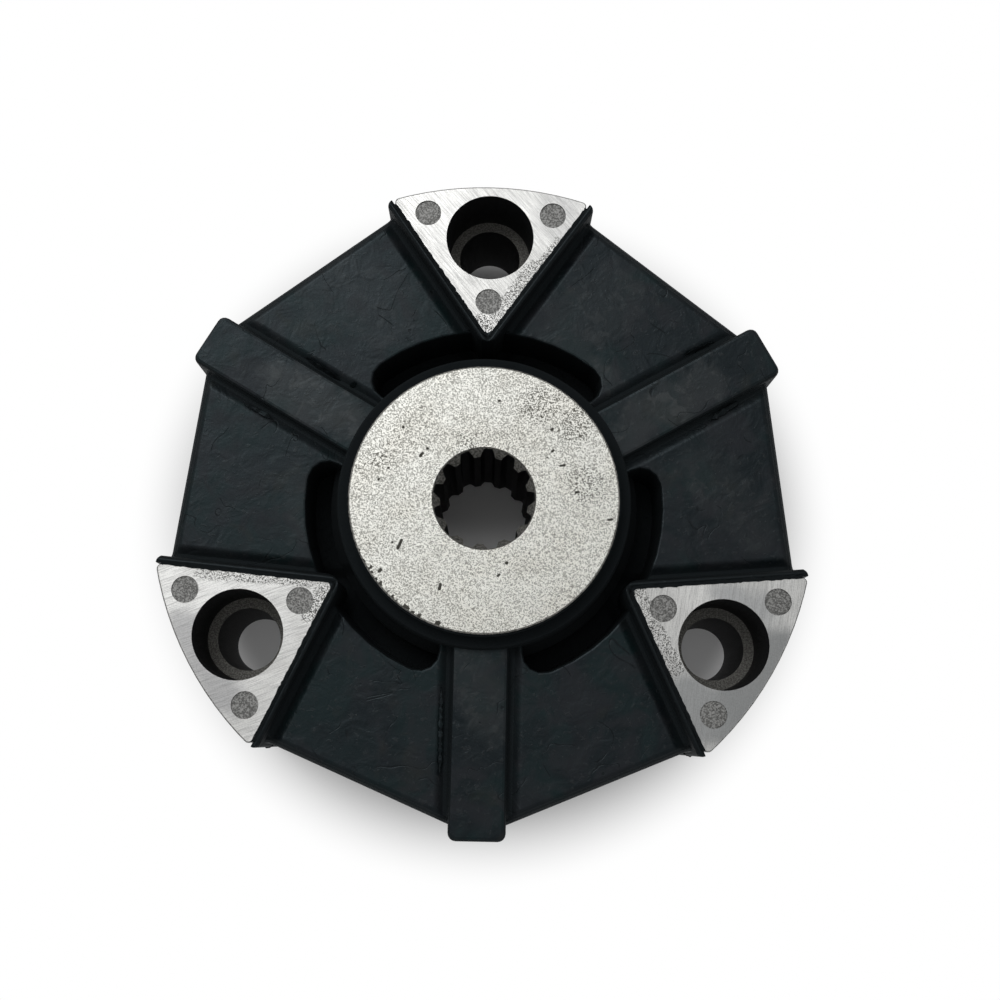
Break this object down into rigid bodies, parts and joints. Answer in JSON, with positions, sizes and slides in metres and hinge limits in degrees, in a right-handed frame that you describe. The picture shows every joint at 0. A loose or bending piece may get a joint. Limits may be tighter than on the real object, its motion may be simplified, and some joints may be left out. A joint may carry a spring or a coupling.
{
  "type": "flexible pump coupling",
  "caption": "Flexible coupling between a pump shaft and a flywheel: splined metal hub and bolted metal inserts bonded in a ribbed rubber body.",
  "frame": {"origin": "on the hub's axis, in the plane of the rear faces, which is the centre of the bottom of the bounding box", "axes": "+Z along the hub's axis towards the front face with the counterbores, +Y from the axis to the insert named top"},
  "size_m": [0.1466, 0.1503, 0.043],
  "materials": {
    "hub_metal": "ground face with dark casting pits",
    "insert_metal": "die-cast, faces sanded flat, fine diagonal scratches",
    "rubber": "moulded, satin, near black"
  },
  "bodies": {
    "root": {"splined_hub": "hub_metal", "rubber_body": "rubber", "bolt_insert_top": "insert_metal", "bolt_insert_left": "insert_metal", "bolt_insert_right": "insert_metal"}
  },
  "joints": []
}
